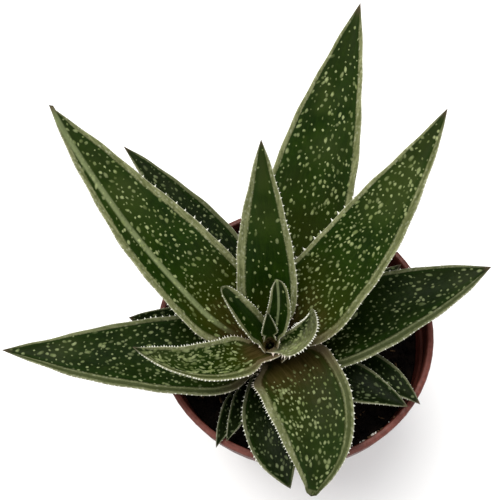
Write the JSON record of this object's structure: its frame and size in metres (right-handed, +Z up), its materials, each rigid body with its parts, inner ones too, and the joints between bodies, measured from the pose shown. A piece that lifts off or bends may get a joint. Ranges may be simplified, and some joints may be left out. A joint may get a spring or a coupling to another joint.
{
  "type": "potted succulent",
  "caption": "Aloe-type succulent with spotted, white-toothed tapering leaves, rooted in dark soil in a round red-brown nursery pot.",
  "frame": {"origin": "centre of the pot's flat underside, on the surface it stands on", "axes": "+Z up along the pot's axis; +Y towards the back, where the longest leaves lean; -Y is the front, where one leaf bends over the rim"},
  "size_m": [0.1684, 0.1551, 0.1569],
  "materials": {
    "pot_plastic": "satin",
    "soil_mix": "rough",
    "stem_skin": "matt",
    "leaf_skin": "satin"
  },
  "bodies": {
    "root": {"pot": "pot_plastic", "soil": "soil_mix", "stem": "stem_skin", "leaf_low_front_left": "leaf_skin", "leaf_low_front_mid": "leaf_skin", "leaf_low_right_front": "leaf_skin", "leaf_low_left": "leaf_skin", "leaf_low_front": "leaf_skin", "leaf_low_right": "leaf_skin", "leaf_low_right_back": "leaf_skin", "leaf_behind_right": "leaf_skin", "leaf_behind_left": "leaf_skin", "leaf_left": "leaf_skin", "leaf_right_lower": "leaf_skin", "leaf_front": "leaf_skin", "leaf_back_right": "leaf_skin", "leaf_back_left": "leaf_skin", "leaf_right_upper": "leaf_skin", "leaf_left_inner": "leaf_skin", "leaf_centre_back": "leaf_skin", "leaf_core_right": "leaf_skin", "leaf_core_left": "leaf_skin", "leaf_core_back": "leaf_skin", "leaf_heart": "leaf_skin"}
  },
  "joints": []
}
